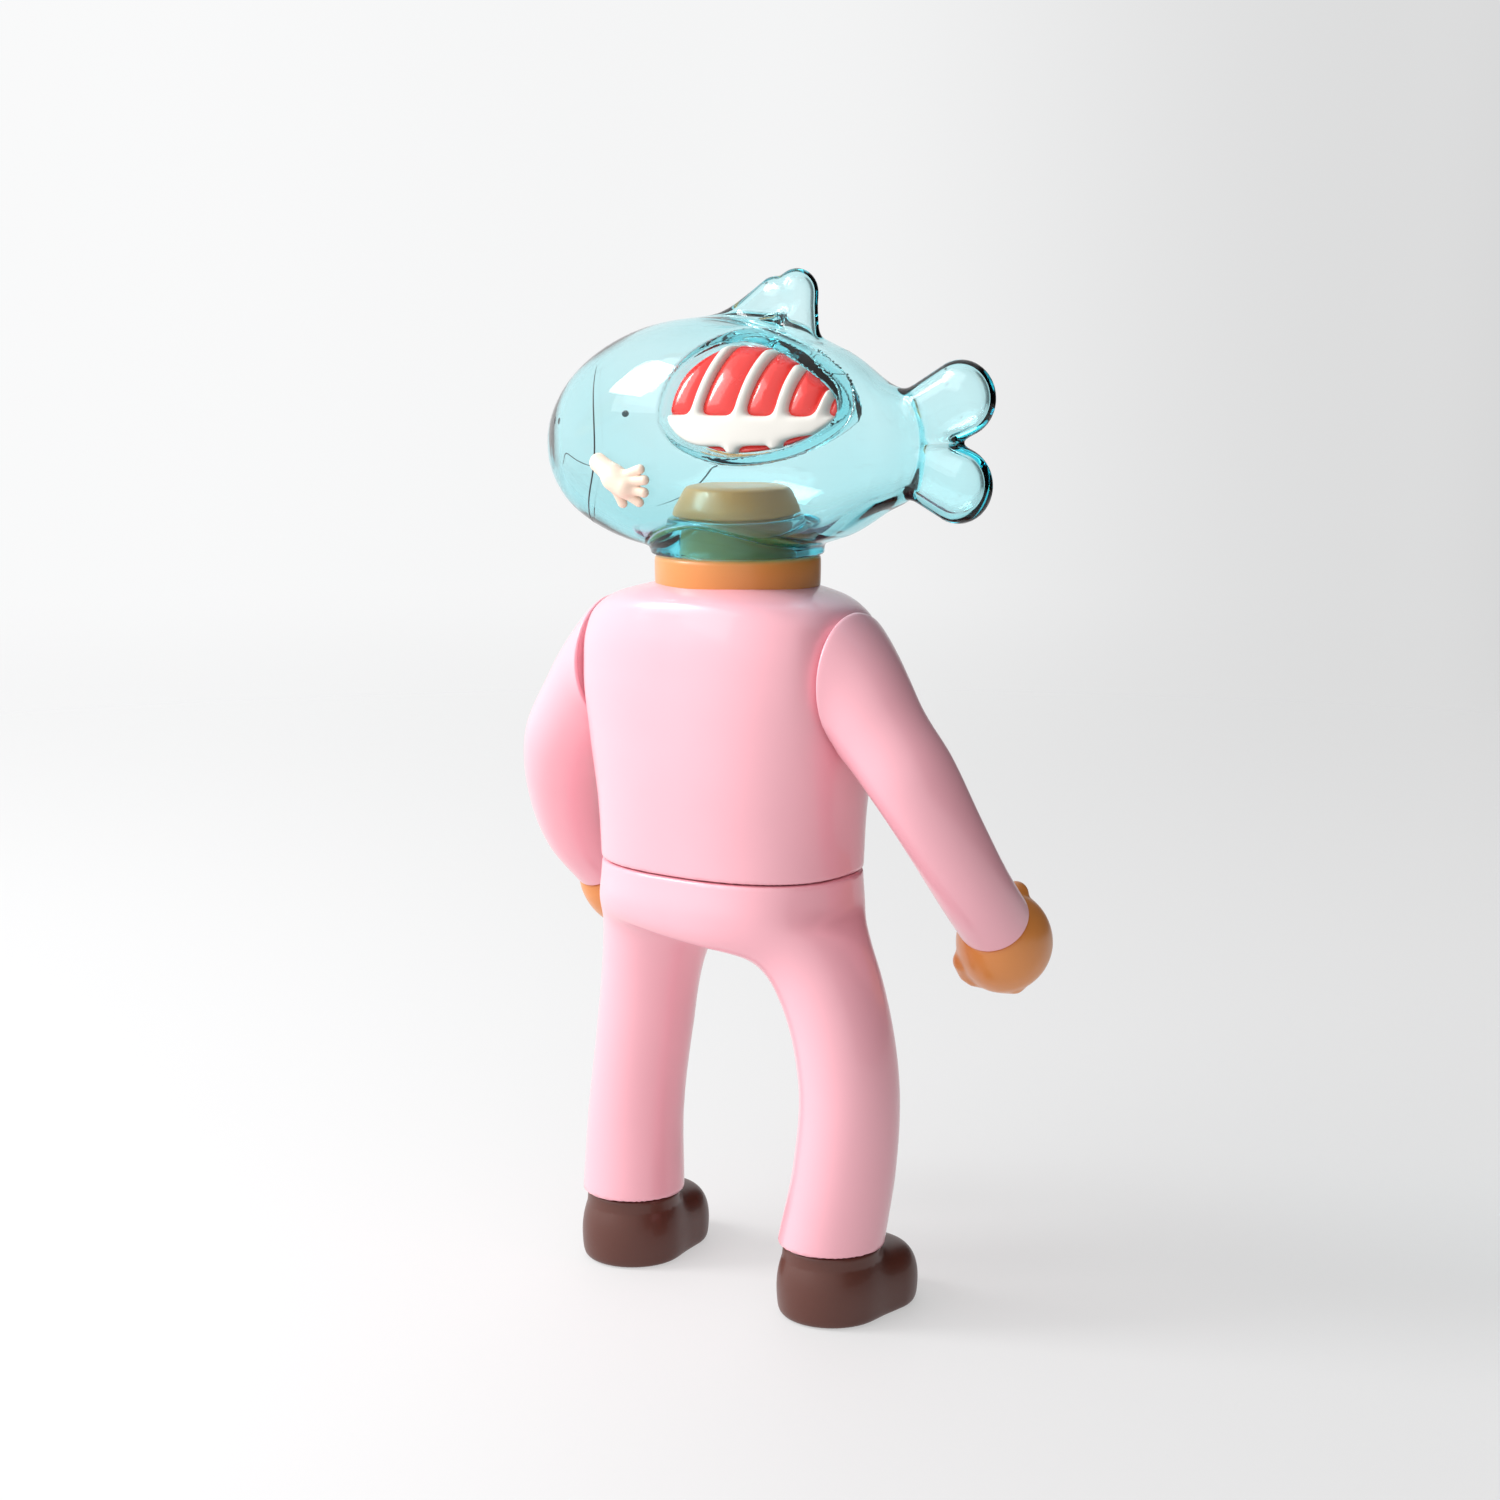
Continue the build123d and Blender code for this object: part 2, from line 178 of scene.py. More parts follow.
def tube(sections):
    """Distance to an upright bent tube, given as x, y, z and radius."""
    xs, ys, zs, radii = np.array(sections, float).T
    middle_x, middle_y, radius = curve(zs, xs), curve(zs, ys), curve(zs, radii)
    return measured(lambda x, y, z: np.hypot(x - middle_x(z), y - middle_y(z)) - radius(z))


def closed_loop(points, steps=8):
    """Points along a smooth closed line through the given points."""
    points = np.array(points, float)
    loop = []
    for i in range(len(points)):
        p0, p1, p2, p3 = (points[(i + k) % len(points)] for k in (-1, 0, 1, 2))
        for t in np.arange(steps) / steps:
            loop.append(
                p1
                + (p2 - p0) * t / 2
                + (2 * p0 - 5 * p1 + 4 * p2 - p3) * t**2 / 2
                + (3 * p1 - p0 - 3 * p2 + p3) * t**3 / 2
            )
    return np.array(loop)


def outline(points):
    """Distance in the X-Z plane to a smooth closed outline."""
    loop = closed_loop(points)

    def distance(x, z):
        nearest = np.full(np.broadcast(x, z).shape, 1e9)
        inside = np.zeros(nearest.shape, bool)
        for (ax, az), (bx, bz) in zip(loop, np.roll(loop, -1, axis=0)):
            dx, dz = bx - ax, bz - az
            t = np.clip(((x - ax) * dx + (z - az) * dz) / (dx * dx + dz * dz), 0, 1)
            nearest = np.minimum(nearest, (x - ax - t * dx) ** 2 + (z - az - t * dz) ** 2)
            if az != bz:
                inside ^= ((az > z) != (bz > z)) & (x < ax + dx * (z - az) / dz)
        return np.where(inside, -1, 1) * np.sqrt(nearest)

    return distance


# ---------------------------------------------------------------- meshes

def slope_of(field, points, step=0.02):
    """The field and its unit slope at each point."""
    x, y, z = points.T
    here = field(x, y, z)
    ahead = [field(x + step, y, z), field(x, y + step, z), field(x, y, z + step)]
    slope = np.stack(ahead, axis=1) - here[:, None]
    length = np.linalg.norm(slope, axis=1)
    return here / np.maximum(length / step, 0.3), slope / np.maximum(length, 1e-9)[:, None]


def onto(field, points, rounds=3, reach=0.5):
    """The points moved onto the field's zero level."""
    for _ in range(rounds):
        away, slope = slope_of(field, points)
        points = points - np.clip(away, -reach, reach)[:, None] * slope
    return points


def evened(points, faces):
    """Each point moved halfway to the middle of its neighbours."""
    starts = faces.ravel()
    ends = np.roll(faces, -1, axis=1).ravel()
    both, other = np.concatenate([starts, ends]), np.concatenate([ends, starts])
    count = np.bincount(both, minlength=len(points))
    middle = np.stack(
        [np.bincount(both, points[other, axis], len(points)) / count for axis in range(3)],
        axis=1,
    )
    return (points + middle) / 2


def net(values, low, step):
    """Points and four-sided faces between the grid's inside and outside values."""
    inside = values < 0
    size = np.array(values.shape) - 1
    corners = [(i, j, k) for i in (0, 1) for j in (0, 1) for k in (0, 1)]
    count = sum(
        inside[i : size[0] + i, j : size[1] + j, k : size[2] + k].astype(np.int8)
        for i, j, k in corners
    )
    cells = np.argwhere((count > 0) & (count < 8))
    number = np.full(tuple(size), -1)
    number[tuple(cells.T)] = np.arange(len(cells))
    total, hits = np.zeros((len(cells), 3)), np.zeros(len(cells))
    for axis in range(3):
        for corner in corners:
            if corner[axis]:
                continue
            far = np.array(corner)
            far[axis] = 1
            a = values[tuple((cells + corner).T)]
            b = values[tuple((cells + far).T)]
            crosses = (a < 0) != (b < 0)
            place = np.tile(np.array(corner, float), (len(cells), 1))
            place[:, axis] = np.where(crosses, a / np.where(crosses, a - b, 1), 0)
            total += place * crosses[:, None]
            hits += crosses
    points = low + (cells + total / hits[:, None]) * step
    faces = []
    for axis in range(3):
        u, v = np.eye(3, dtype=int)[[(axis + 1) % 3, (axis + 2) % 3]]
        here = np.take(inside, range(size[axis]), axis=axis)
        ahead = np.take(inside, range(1, size[axis] + 1), axis=axis)
        edges = np.argwhere(here != ahead)
        middle = [a for a in range(3) if a != axis]
        kept = np.all((edges[:, middle] > 0) & (edges[:, middle] < size[middle]), axis=1)
        edges = edges[kept]
        around = np.stack([number[tuple((edges - o).T)] for o in (u + v, v, 0 * u, u)], axis=1)
        leaving = here[tuple(edges.T)]
        faces.append(np.where(leaving[:, None], around, around[:, ::-1]))
    return points, np.concatenate(faces)


def mesh_object(name, points, faces, material, normals=None):
    """An object in the row frame, from points in the figure's millimetres."""
    mesh = bpy.data.meshes.new(name)
    mesh.from_pydata((np.asarray(points) * MM + NECK_AXIS).tolist(), [], [list(f) for f in faces])
    mesh.materials.append(material)
    mesh.shade_smooth()
    if normals is not None:
        mesh.normals_split_custom_set_from_vertices(normals.tolist())
    obj = bpy.data.objects.new(name, mesh)
    bpy.context.scene.collection.objects.link(obj)
    return obj


def skin(name, field, low, high, step, material):
    """The surface where the field is zero, inside the box from low to high."""
    step = step * COARSER
    low, high = np.array(low, float), np.array(high, float)
    x, y, z = (np.arange(a, b + step, step) for a, b in zip(low, high))
    values = field(x[:, None, None], y[None, :, None], z[None, None, :])
    values = np.broadcast_to(values, (len(x), len(y), len(z)))
    points, faces = net(values, low, step)
    points = onto(field, points, rounds=2)
    for rounds in (1, 2):
        points = onto(field, evened(points, faces), rounds)
    normals = slope_of(field, points)[1]
    return mesh_object(name, points, faces.tolist(), material, normals)


def ring_faces(rings, sides):
    """Faces between rings of points that follow each other."""
    faces = []
    for r in range(rings - 1):
        for s in range(sides):
            a, b = r * sides + s, r * sides + (s + 1) % sides
            faces.append((a, b, b + sides, a + sides))
    return faces


def end_fans(rings, sides, centre):
    """Faces from each end ring to the two middle points, which are numbered from centre."""
    last = (rings - 1) * sides
    faces = []
    for s in range(sides):
        after = (s + 1) % sides
        faces.append((centre, after, s))
        faces.append((centre + 1, last + s, last + after))
    return faces


def swept(name, centres, facings, radii, sides, material):
    """A closed skin over circles, each square to its facing."""
    angles = 2 * math.pi * np.arange(sides) / sides
    points = []
    for centre, facing, radius in zip(centres, facings, radii):
        across = np.cross(facing, (0.0, 1.0, 0.0))
        across /= np.linalg.norm(across)
        other = np.cross(facing, across)
        for angle in angles:
            points.append(centre + radius * (math.cos(angle) * across + math.sin(angle) * other))
    faces = ring_faces(len(radii), sides) + end_fans(len(radii), sides, len(points))
    points += [centres[0], centres[-1]]
    return mesh_object(name, np.array(points), faces, material)


def mirrored(obj, name):
    """A copy of a left piece for the right side of the figure."""
    other = obj.copy()
    other.data = obj.data.copy()
    other.name = other.data.name = name
    edit = bmesh.new()
    edit.from_mesh(other.data)
    for vertex in edit.verts:
        vertex.co.x = 2 * NECK_AXIS[0] - vertex.co.x
    bmesh.ops.reverse_faces(edit, faces=edit.faces)
    edit.to_mesh(other.data)
    edit.free()
    bpy.context.scene.collection.objects.link(other)
    return other


def belongs(obj, body, node=None):
    """Says which body the piece rides on, which CAD node it stands for."""
    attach(obj, body)
    if node:
        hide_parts(node)
    return obj


# ---------------------------------------------------------------- materials

class Nodes:
    """A material's node tree, with short calls for the nodes used here."""

    def __init__(self, name):
        self.material = bpy.data.materials.new(name)
        self.material.use_nodes = True
        self.tree = self.material.node_tree
        self.tree.nodes.clear()
        self.place = self.add("TexCoord").outputs["Object"]

    def add(self, kind, **settings):
        """A shader node with some of its properties and inputs set."""
        node = self.tree.nodes.new("ShaderNode" + kind)
        for key, value in settings.items():
            if hasattr(node, key):
                setattr(node, key, value)
            else:
                node.inputs[key.replace("_", " ")].default_value = value
        return node

    def link(self, source, target):
        """Joins an output to an input."""
        self.tree.links.new(source, target)

    def noise(self, size, detail=2.0, roughness=0.5):
        """A noise with lumps of about that size in metres."""
        node = self.add("TexNoise", Scale=1 / size, Detail=detail, Roughness=roughness)
        self.link(self.place, node.inputs["Vector"])
        return node.outputs["Fac"]

    def ranged(self, source, low, high, to_low, to_high):
        """The source from low..high to to_low..to_high."""
        node = self.add("MapRange", interpolation_type="SMOOTHSTEP")
        limits = {"From Min": low, "From Max": high, "To Min": to_low, "To Max": to_high}
        for key, value in limits.items():
            node.inputs[key].default_value = value
        self.link(source, node.inputs["Value"])
        return node.outputs["Result"]

    def blended(self, amount, one, two):
        """Two colours, or colour outputs, mixed by amount."""
        node = self.add("Mix", data_type="RGBA")
        self.link(amount, node.inputs["Factor"])
        for key, colour in (("A", one), ("B", two)):
            socket = next(s for s in node.inputs if s.name == key and s.type == "RGBA")
            if isinstance(colour, tuple):
                socket.default_value = (*colour, 1)
            else:
                self.link(colour, socket)
        return next(s for s in node.outputs if s.type == "RGBA")

    def bump(self, height, strength, distance):
        """A normal that leans with the height; the distance is in metres."""
        node = self.add("Bump", Strength=strength, Distance=distance)
        self.link(height, node.inputs["Height"])
        return node.outputs["Normal"]


def shade(colour, factor):
    """The colour made lighter or darker."""
    return tuple(min(1.0, c * factor) for c in colour)


def cast_vinyl(name, colour, roughness=0.32, coat=0.6, coat_roughness=0.06, worn=1.08, dust=0.02):
    """Painted soft vinyl: mottled colour, rubbed edges, a few specks and a faint orange peel."""
    n = Nodes(name)
    shader = n.add("BsdfPrincipled", IOR=1.5, Coat_Weight=coat, Coat_Roughness=coat_roughness)
    cloudy = n.ranged(n.noise(0.045, 3), 0.35, 0.65, 0.0, 1.0)
    body = n.blended(cloudy, shade(colour, 0.985), shade(colour, 1.015))
    edges = n.ranged(n.add("NewGeometry").outputs["Pointiness"], 0.53, 0.6, 0.0, 0.35)
    body = n.blended(edges, body, shade(colour, worn))
    specks = n.add("TexVoronoi", Scale=120.0, Randomness=1.0)
    n.link(n.place, specks.inputs["Vector"])
    speck = n.ranged(specks.outputs["Distance"], 0.012, 0.03, dust * 4, 0.0)
    body = n.blended(speck, body, shade(colour, 0.55))
    n.link(body, shader.inputs["Base Color"])
    smudges = n.ranged(n.noise(0.018, 4, 0.6), 0.3, 0.7, roughness - 0.04, roughness + 0.05)
    n.link(smudges, shader.inputs["Roughness"])
    peel = n.bump(n.noise(0.0022, 2), 0.05, 0.0003)
    n.link(peel, shader.inputs["Normal"])
    out = n.add("OutputMaterial")
    n.link(shader.outputs[0], out.inputs["Surface"])
    return n.material


def clear_vinyl(name, tint, density):
    """Tinted clear vinyl that lets lamps through, with faint smears in its gloss."""
    n = Nodes(name)
    shader = n.add("BsdfPrincipled", Transmission_Weight=1.0, IOR=1.42)
    shader.inputs["Base Color"].default_value = (1, 1, 1, 1)
    smears = n.ranged(n.noise(0.02, 4, 0.6), 0.35, 0.75, 0.0, 0.045)
    n.link(smears, shader.inputs["Roughness"])
    ripples = n.bump(n.noise(0.014, 1), 0.05, 0.0010)
    n.link(ripples, shader.inputs["Normal"])
    passing = n.add("BsdfTransparent", Color=(0.93, 0.97, 0.98, 1))
    lamps = n.add("LightPath").outputs["Is Shadow Ray"]
    mix = n.add("MixShader")
    n.link(lamps, mix.inputs[0])
    n.link(shader.outputs[0], mix.inputs[1])
    n.link(passing.outputs[0], mix.inputs[2])
    depth = n.add("VolumeAbsorption", Color=(*tint, 1), Density=density)
    out = n.add("OutputMaterial")
    n.link(mix.outputs[0], out.inputs["Surface"])
    n.link(depth.outputs[0], out.inputs["Volume"])
    return n.material


SUIT = cast_vinyl("suit_vinyl", (0.92, 0.44, 0.51), coat=0.5)
SKIN = cast_vinyl("skin_vinyl", (0.72, 0.255, 0.058), roughness=0.36, coat=0.3)
SHOE = cast_vinyl("shoe_vinyl", (0.092, 0.021, 0.011), roughness=0.42, coat=0.2, worn=1.5)
FLESH = cast_vinyl("flesh_vinyl", (0.80, 0.028, 0.022), roughness=0.25, coat=0.9)
BONE = cast_vinyl("bone_vinyl", (0.80, 0.775, 0.72), roughness=0.45, coat=0.25)
PALE = cast_vinyl("pale_skin_vinyl", (0.95, 0.72, 0.58), roughness=0.45, coat=0.2)
# Real black paint for the eyes, and painted shade for the gill and mouth grooves.
EYE_PAINT_AND_GROOVE_SHADE = cast_vinyl("eye_paint_and_groove_shade", (0.012, 0.016, 0.022), roughness=0.4, coat=0.2)
CLEAR = clear_vinyl("clear_vinyl", (0.02, 0.80, 0.87), 120.0)

# ---------------------------------------------------------------- torso

SIDE_X = SHOULDER[0] - GAP
TORSO_SECTIONS = [
    (WAIST[2], 36.4, 26.2),
    (132.0, 37.2, 27.0),
    (150.0, 40.0, 27.8),
    (167.0, 42.4, 28.0),
    (177.0, 41.4, 27.4),
    (183.0, 37.8, 26.2),
    (187.0, 31.0, 24.6),
    (189.5, 22.0, 20.0),
]
SHOULDER_ROUNDING = 7.0
SEAM_ROUNDING = 1.6
torso_body = column(TORSO_SECTIONS, BODY_Y, BODY_POWER)


def torso_field(x, y, z):
    """Distance to the torso, which is flat at both shoulders and at the waist."""
    body = smooth_max(torso_body(x, y, z), np.abs(x) - SIDE_X, SHOULDER_ROUNDING)
    return smooth_max(body, WAIST[2] + GAP - z, SEAM_ROUNDING)


torso = skin("torso_skin", torso_field, (-42, -29, 114), (42, 34, 193), 1.0, SUIT)
belongs(torso, "torso", "torso_shell")

# ---------------------------------------------------------------- neck

NECK_R = 21.7
NECK_TOP_Z = 197.3
NECK_PROFILE = [
    (0.0, 181.0),
    (20.4, 183.0),
    (20.9, 186.0),
    (21.6, 189.6),
    (NECK_R, 193.0),
    (NECK_R, NECK_TOP_Z),
    (15.0, NECK_TOP_Z),
    (15.0, 206.8),
    (16.6, 207.2),
    (16.2, 209.0),
    (13.4, PLUG_TOP_Z - 0.6),
    (11.0, PLUG_TOP_Z),
    (0.0, PLUG_TOP_Z),
]


def softened(profile, share=0.3, steps=4):
    """The profile with each corner replaced by a short curve."""
    profile = np.array(profile, float)
    points = [profile[0]]
    for before, corner, after in zip(profile, profile[1:], profile[2:]):
        reach = min(np.linalg.norm(before - corner), np.linalg.norm(after - corner)) * share
        into = corner + (before - corner) / np.linalg.norm(before - corner) * reach
        away = corner + (after - corner) / np.linalg.norm(after - corner) * reach
        for t in np.linspace(0, 1, steps):
            points.append((1 - t) ** 2 * into + 2 * t * (1 - t) * corner + t * t * away)
    points.append(profile[-1])
    return np.array(points)


def turned(name, profile, sides, material):
    """A skin turned about the neck's axis; the profile starts and ends on the axis."""
    inner = profile[1:-1]
    angles = 2 * math.pi * np.arange(sides) / sides
    points = [(r * math.cos(a), r * math.sin(a), z) for r, z in inner for a in angles]
    faces = ring_faces(len(inner), sides) + end_fans(len(inner), sides, len(points))
    points += [(0, 0, profile[0][1]), (0, 0, profile[-1][1])]
    return mesh_object(name, np.array(points), faces, material)


neck = turned("neck_skin", softened(NECK_PROFILE), 128, SKIN)
belongs(neck, "torso", "neck")

# ---------------------------------------------------------------- hips and legs

HIP_SECTIONS = [
    (WAIST[2] + 4, 36.0, 25.8),
    (WAIST[2], 36.2, 26.2),
    (107.0, 35.8, 27.6),
    (97.0, 32.5, 25.5),
    (88.0, 27.0, 19.0),
]
LEG_SECTIONS = {
    "left": [
        (20.0, 5.0, 104.0, 17.0),
        (25.5, 4.0, 87.0, 14.0),
        (29.5, 3.2, 66.0, 13.2),
        (33.0, 3.0, 42.0, 13.2),
        (34.0, 3.0, HEM_Z, 14.0),
    ],
    "right": [
        (-21.0, 5.0, 106.0, 18.0),
        (-33.5, 6.0, 88.0, 14.4),
        (-40.0, 6.0, 64.0, 13.1),
        (-39.0, 6.0, 41.0, 13.4),
        (-35.0, 6.0, HEM_Z, 14.0),
    ],
}
CROTCH_Z = 98.5
CROTCH_SLOPE = 0.12
CROTCH_ROUNDING = 9.0
LEG_TOP_Z = 104.0
LEG_TOP_ROUNDING = 6.0
LEG_BLEND = 10.0
HEM_DROP = 1.3
HEM_ROUNDING = 1.2
WAIST_ROUNDING = 1.4
hip_body = column(HIP_SECTIONS, BODY_Y, BODY_POWER)
legs = [tube(LEG_SECTIONS[side]) for side in ("left", "right")]


def hips_field(x, y, z):
    """Distance to the trousers: hips cut off at the crotch, with a leg grown on to each side."""
    total = smooth_max(hip_body(x, y, z), CROTCH_Z + CROTCH_SLOPE * x - z, CROTCH_ROUNDING)
    for leg in legs:
        below_hips = smooth_max(leg(x, y, z), z - LEG_TOP_Z, LEG_TOP_ROUNDING)
        total = smooth_min(total, below_hips, LEG_BLEND)
    total = smooth_max(total, HEM_Z - HEM_DROP - z, HEM_ROUNDING)
    return smooth_max(total, z - WAIST[2], WAIST_ROUNDING)


hips = skin("trousers_skin", hips_field, (-58, -26, 18), (52, 36, 119), 1.0, SUIT)
belongs(hips, "legs", "hips_and_legs")

# ---------------------------------------------------------------- arms

ARM_SECTIONS = [
    (SHOULDER, (1.0, 0.0, 0.0), 17.4),
    ((42.6, 3.8, 163.6), (0.96, 0.01, -0.28), 14.9),
    ((48.0, 4.7, 156.2), (0.74, -0.04, -0.67), 12.3),
    ((56.8, 3.1, 144.0), (0.44, -0.24, -0.87), 11.4),
    ((62.7, -2.8, 129.3), (0.25, -0.47, -0.85), 10.3),
    ((65.6, -12.0, 115.0), (0.06, -0.64, -0.77), 9.7),
    (WRIST, tuple(WRIST_AXIS), 9.6),
]


def arm_rings(rim=1.0, cuff=0.8):
    """Centres, facings and radii of the arm's rings, with a small round at both rims."""
    centres = np.array([np.array(s[0], float) for s in ARM_SECTIONS])
    facings = np.array([np.array(s[1], float) for s in ARM_SECTIONS])
    radii = np.array([s[2] for s in ARM_SECTIONS])
    along = np.concatenate([[0], np.cumsum(np.linalg.norm(np.diff(centres, axis=0), axis=1))])
    centre_at = [curve(along, centres[:, a]) for a in range(3)]
    facing_at = [curve(along, facings[:, a]) for a in range(3)]
    radius_at = curve(along, radii)
    quarter = np.linspace(0, math.pi / 2, 6)
    rings = [(0.0, (radii[0] - rim) * share) for share in np.linspace(0.1, 1.0, 8)]
    for place in rim * (1 - np.cos(quarter)):
        rise = math.sqrt(max(0.0, rim**2 - (rim - place) ** 2))
        rings.append((place, float(radius_at(place)) - rim + rise))
    for place in np.linspace(rim, along[-1] - cuff, 90)[1:-1]:
        rings.append((place, float(radius_at(place))))
    for place in along[-1] - cuff * (1 - np.sin(quarter)):
        over = place - (along[-1] - cuff)
        rise = math.sqrt(max(0.0, cuff**2 - over**2))
        rings.append((place, float(radius_at(place)) - cuff + rise))
    rings += [(along[-1], (radii[-1] - cuff) * share) for share in np.linspace(0.9, 0.1, 5)]
    places = np.array([r[0] for r in rings])
    ring_centres = np.stack([f(places) for f in centre_at], axis=1)
    ring_facings = np.stack([f(places) for f in facing_at], axis=1)
    ring_facings /= np.linalg.norm(ring_facings, axis=1)[:, None]
    return ring_centres, ring_facings, np.array([r[1] for r in rings])


sleeve_left = swept("sleeve_skin_left", *arm_rings(), 96, SUIT)
sleeve_right = mirrored(sleeve_left, "sleeve_skin_right")
belongs(sleeve_left, "arm_left", "sleeve_left")
belongs(sleeve_right, "arm_right", "sleeve_right")

# ---------------------------------------------------------------- fists

FIST_PROFILE = [
    (-1.0, 8.6),
    (0.4, 9.5),
    (3.0, 11.0),
    (7.0, 12.4),
    (12.0, 12.9),
    (17.0, 12.0),
    (21.0, 9.2),
    (23.6, 5.2),
]
FIST_LEAN = 0.05
FIST_OUT_SHARE = 1.06
FIST_ROW_SHARE = 0.96
FIST_STEP = 0.6
fist_places, fist_radii = np.array(FIST_PROFILE).T
fist_squared = curve(fist_places, fist_radii**2)
ACROSS = np.array((1.0, 0.0, 0.0)) - WRIST_AXIS[0] * WRIST_AXIS
ACROSS /= np.linalg.norm(ACROSS)
ROW = np.cross(ACROSS, WRIST_AXIS)


def hand_point(out, row, along):
    """A point of the left hand: away from the body, along the knuckles, away from the cuff."""
    return WRIST + GAP * WRIST_AXIS + out * ACROSS + row * ROW + along * WRIST_AXIS


HAND_START = hand_point(0, 0, 0)


def hand_place(direction, x, y, z):
    """How far places lie from the start of the hand in a direction."""
    dx, dy, dz = x - HAND_START[0], y - HAND_START[1], z - HAND_START[2]
    return dx * direction[0] + dy * direction[1] + dz * direction[2]


def fist_formula(x, y, z):
    """Squared reach from the fist's middle line, less that of its skin."""
    along = hand_place(WRIST_AXIS, x, y, z)
    out = hand_place(ACROSS, x, y, z) + FIST_LEAN * along
    row = hand_place(ROW, x, y, z)
    return out**2 * FIST_OUT_SHARE + row**2 * FIST_ROW_SHARE - fist_squared(along)


fist_body = measured(fist_formula)
FINGER_ROWS = (-8.6, -3.0, 2.6, 8.0)
finger_parts = []
for row in FINGER_ROWS:
    bend = abs(row) * 0.12
    tip, middle = hand_point(-8.8, row, 10.0 + bend), hand_point(-8.8, row, 17.0 - bend)
    turn, knuckle = hand_point(-7.8, row, 18.6 - bend), hand_point(3.5, row, 19.2 - bend)
    finger_parts.append(bar(tip, middle, 3.2, 3.4))
    finger_parts.append(bar(turn, knuckle, 3.4, 2.6))
fingers = joined(finger_parts, 0.8)
thumb = joined(
    [
        bar(hand_point(0.5, -11.0, 4.5), hand_point(-4.6, -12.4, 10.0), 3.4, 3.7),
        bar(hand_point(-4.6, -12.4, 10.0), hand_point(-9.6, -7.0, 14.0), 3.6, 3.2),
    ],
    2.0,
)


def fist_field(x, y, z):
    """Distance to the left fist: a rounded block with four bent fingers and a thumb."""
    total = smooth_min(fist_body(x, y, z), fingers(x, y, z), 1.8)
    total = smooth_min(total, thumb(x, y, z), 1.6)
    return smooth_max(total, -hand_place(WRIST_AXIS, x, y, z), 1.0)


def right_fist_field(x, y, z):
    """Distance to the right fist, the left one's mirror image."""
    return fist_field(-x, y, z)


FIST_LOW, FIST_HIGH = (46, -56, 76), (86, -12, 114)
hand_left = skin("fist_skin_left", fist_field, FIST_LOW, FIST_HIGH, FIST_STEP, SKIN)
right_low, right_high = (-FIST_HIGH[0], *FIST_LOW[1:]), (-FIST_LOW[0], *FIST_HIGH[1:])
hand_right = skin("fist_skin_right", right_fist_field, right_low, right_high, FIST_STEP, SKIN)
belongs(hand_left, "fist_left", "hand_left")
belongs(hand_right, "fist_right", "hand_right")

# ---------------------------------------------------------------- shoes

TOE_OUT = {"left": math.radians(7.0), "right": math.radians(-7.0)}
SHOE_R = 13.3
TOE_REACH = 13.4
TOE_TOP_Z = 17.6
TOE_FALL = 0.05
TOE_ROUNDING = 13.0
HEEL_INSET = 0.2
HEEL_BLEND = 3.0
SOLE_SWELL = 0.8
SOLE_WIDEST_Z = 7.0
SOLE_ROUNDING = 3.2
SHOE_TOP_Z = HEM_Z - HEM_DROP - GAP
SHOE_TOP_ROUNDING = 1.2


def shoe_field(side):
    """Distance to a shoe: a round heel block under the hem, with a lower domed toe."""
    centre, turn = ANKLES[side], TOE_OUT[side]

    def formula(x, y, z):
        across = (x - centre[0]) * math.cos(turn) + (y - centre[1]) * math.sin(turn)
        ahead = (x - centre[0]) * math.sin(turn) - (y - centre[1]) * math.cos(turn)
        swell = SOLE_SWELL - 0.014 * (z - SOLE_WIDEST_Z) ** 2
        toe = np.hypot(across, ahead - np.clip(ahead, 0, TOE_REACH)) - SHOE_R - swell
        toe = smooth_max(toe, z - TOE_TOP_Z + TOE_FALL * ahead, TOE_ROUNDING)
        heel = np.hypot(across, ahead) - SHOE_R + HEEL_INSET - np.maximum(swell, -HEEL_INSET)
        total = smooth_min(toe, heel, HEEL_BLEND)
        total = smooth_max(total, z - SHOE_TOP_Z, SHOE_TOP_ROUNDING)
        return smooth_max(total, -z, SOLE_ROUNDING)

    return formula


for side, centre in ANKLES.items():
    low = (centre[0] - 20, centre[1] - 34, -1.5)
    high = (centre[0] + 20, centre[1] + 18, 23)
    shoe = skin(f"shoe_skin_{side}", shoe_field(side), low, high, 0.7, SHOE)
    belongs(shoe, f"foot_{side}", f"shoe_{side}")

# ---------------------------------------------------------------- fish

FISH_SECTIONS = [
    (-54.0, 237.0, 216.0, 5.5),
    (-45.0, 242.5, 210.0, 12.0),
    (-30.0, 250.8, 202.5, 20.5),
    (-12.0, 256.8, 198.2, 26.5),
    (8.0, 258.4, FISH_BASE_Z, 28.5),
    (26.0, 256.0, 199.2, 27.0),
    (42.0, 249.0, 204.5, 21.5),
    (53.0, 239.5, 212.0, 13.5),
    (59.5, 229.0, 220.5, 4.5),
]
fish_x, fish_top, fish_bottom, fish_half = np.array(FISH_SECTIONS).T
fish_squared = curve(fish_x, fish_half**2)
fish_middle = curve(fish_x, (fish_top + fish_bottom) / 2)
fish_ratio = curve(fish_x, 2 * fish_half / (fish_top - fish_bottom))


def fish_formula(x, y, z):
    """Squared reach from the fish's middle line, less that of its skin; squarer below than above."""
    rise = (z - fish_middle(x)) * fish_ratio(x)
    power = np.where(rise > 0, 2.15, 2.7)
    return (np.abs(y) ** power + np.abs(rise) ** power) ** (2 / power) - fish_squared(x)


